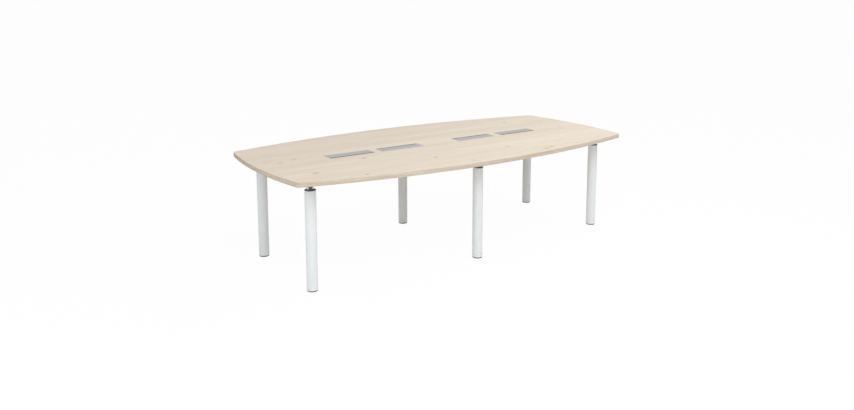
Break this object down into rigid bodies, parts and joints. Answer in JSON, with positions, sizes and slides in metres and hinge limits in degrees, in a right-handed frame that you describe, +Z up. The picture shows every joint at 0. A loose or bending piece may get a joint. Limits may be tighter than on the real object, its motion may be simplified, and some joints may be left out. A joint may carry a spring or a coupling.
{
  "type": "conference table",
  "caption": "Conference table with a barrel-shaped laminate top floating on round tube legs with levelling feet, and hinged cable ports along the middle.",
  "frame": {"origin": "on the floor, under the middle of the table top", "axes": "+X along the length of the table, +Y across it to the back, +Z up"},
  "size_m": [2.8, 1.38, 0.73],
  "materials": {
    "maple_laminate": "matt maple-look laminate on chipboard",
    "edge_strip": "matt wood-look edge band",
    "white_coat": "satin white powder coat on steel tube",
    "dark_plastic": "fine moulded texture",
    "grey_foot": "dark grey coat",
    "chrome": "bright plated steel",
    "zinc_steel": "zinc-plated",
    "aluminium": "brushed and anodised"
  },
  "bodies": {
    "table": {"tabletop_board": "maple_laminate", "edge_band": "edge_strip", "mounting_plate_left_front": "zinc_steel", "leg_neck_left_front": "chrome", "leg_top_cap_left_front": "dark_plastic", "leg_tube_left_front": "white_coat", "foot_plug_left_front": "dark_plastic", "mounting_plate_left_back": "zinc_steel", "leg_neck_left_back": "chrome", "leg_top_cap_left_back": "dark_plastic", "leg_tube_left_back": "white_coat", "foot_plug_left_back": "dark_plastic", "mounting_plate_middle_front": "zinc_steel", "leg_neck_middle_front": "chrome", "leg_top_cap_middle_front": "dark_plastic", "leg_tube_middle_front": "white_coat", "foot_plug_middle_front": "dark_plastic", "mounting_plate_middle_back": "zinc_steel", "leg_neck_middle_back": "chrome", "leg_top_cap_middle_back": "dark_plastic", "leg_tube_middle_back": "white_coat", "foot_plug_middle_back": "dark_plastic", "mounting_plate_right_front": "zinc_steel", "leg_neck_right_front": "chrome", "leg_top_cap_right_front": "dark_plastic", "leg_tube_right_front": "white_coat", "foot_plug_right_front": "dark_plastic", "mounting_plate_right_back": "zinc_steel", "leg_neck_right_back": "chrome", "leg_top_cap_right_back": "dark_plastic", "leg_tube_right_back": "white_coat", "foot_plug_right_back": "dark_plastic", "port_trim_1": "aluminium", "port_well_1": "dark_plastic", "hinge_pin_1": "zinc_steel", "port_trim_2": "aluminium", "port_well_2": "dark_plastic", "hinge_pin_2": "zinc_steel", "port_trim_3": "aluminium", "port_well_3": "dark_plastic", "hinge_pin_3": "zinc_steel", "port_trim_4": "aluminium", "port_well_4": "dark_plastic", "hinge_pin_4": "zinc_steel"},
    "lid_1": {"port_lid_1": "aluminium", "lid_edge_strip_1": "dark_plastic"},
    "lid_2": {"port_lid_2": "aluminium", "lid_edge_strip_2": "dark_plastic"},
    "lid_3": {"port_lid_3": "aluminium", "lid_edge_strip_3": "dark_plastic"},
    "lid_4": {"port_lid_4": "aluminium", "lid_edge_strip_4": "dark_plastic"},
    "foot_left_front": {"levelling_foot_left_front": "grey_foot"},
    "foot_left_back": {"levelling_foot_left_back": "grey_foot"},
    "foot_middle_front": {"levelling_foot_middle_front": "grey_foot"},
    "foot_middle_back": {"levelling_foot_middle_back": "grey_foot"},
    "foot_right_front": {"levelling_foot_right_front": "grey_foot"},
    "foot_right_back": {"levelling_foot_right_back": "grey_foot"}
  },
  "joints": [
    {"name": "lid_1_hinge", "type": "hinge", "parent": "table", "child": "lid_1", "pos_m": [-0.7275, 0.0392, 0.7255], "axis": [-1, 0, 0], "range_deg": [0, 95]},
    {"name": "lid_2_hinge", "type": "hinge", "parent": "table", "child": "lid_2", "pos_m": [-0.3265, -0.0392, 0.7255], "axis": [1, 0, 0], "range_deg": [0, 95]},
    {"name": "lid_3_hinge", "type": "hinge", "parent": "table", "child": "lid_3", "pos_m": [0.3265, -0.0392, 0.7255], "axis": [1, 0, 0], "range_deg": [0, 95]},
    {"name": "lid_4_hinge", "type": "hinge", "parent": "table", "child": "lid_4", "pos_m": [0.7275, 0.0392, 0.7255], "axis": [-1, 0, 0], "range_deg": [0, 95]},
    {"name": "foot_left_front_screw", "type": "slide", "parent": "table", "child": "foot_left_front", "axis": [0, 0, -1], "range_m": [0, 0.015]},
    {"name": "foot_left_back_screw", "type": "slide", "parent": "table", "child": "foot_left_back", "axis": [0, 0, -1], "range_m": [0, 0.015]},
    {"name": "foot_middle_front_screw", "type": "slide", "parent": "table", "child": "foot_middle_front", "axis": [0, 0, -1], "range_m": [0, 0.015]},
    {"name": "foot_middle_back_screw", "type": "slide", "parent": "table", "child": "foot_middle_back", "axis": [0, 0, -1], "range_m": [0, 0.015]},
    {"name": "foot_right_front_screw", "type": "slide", "parent": "table", "child": "foot_right_front", "axis": [0, 0, -1], "range_m": [0, 0.015]},
    {"name": "foot_right_back_screw", "type": "slide", "parent": "table", "child": "foot_right_back", "axis": [0, 0, -1], "range_m": [0, 0.015]}
  ]
}
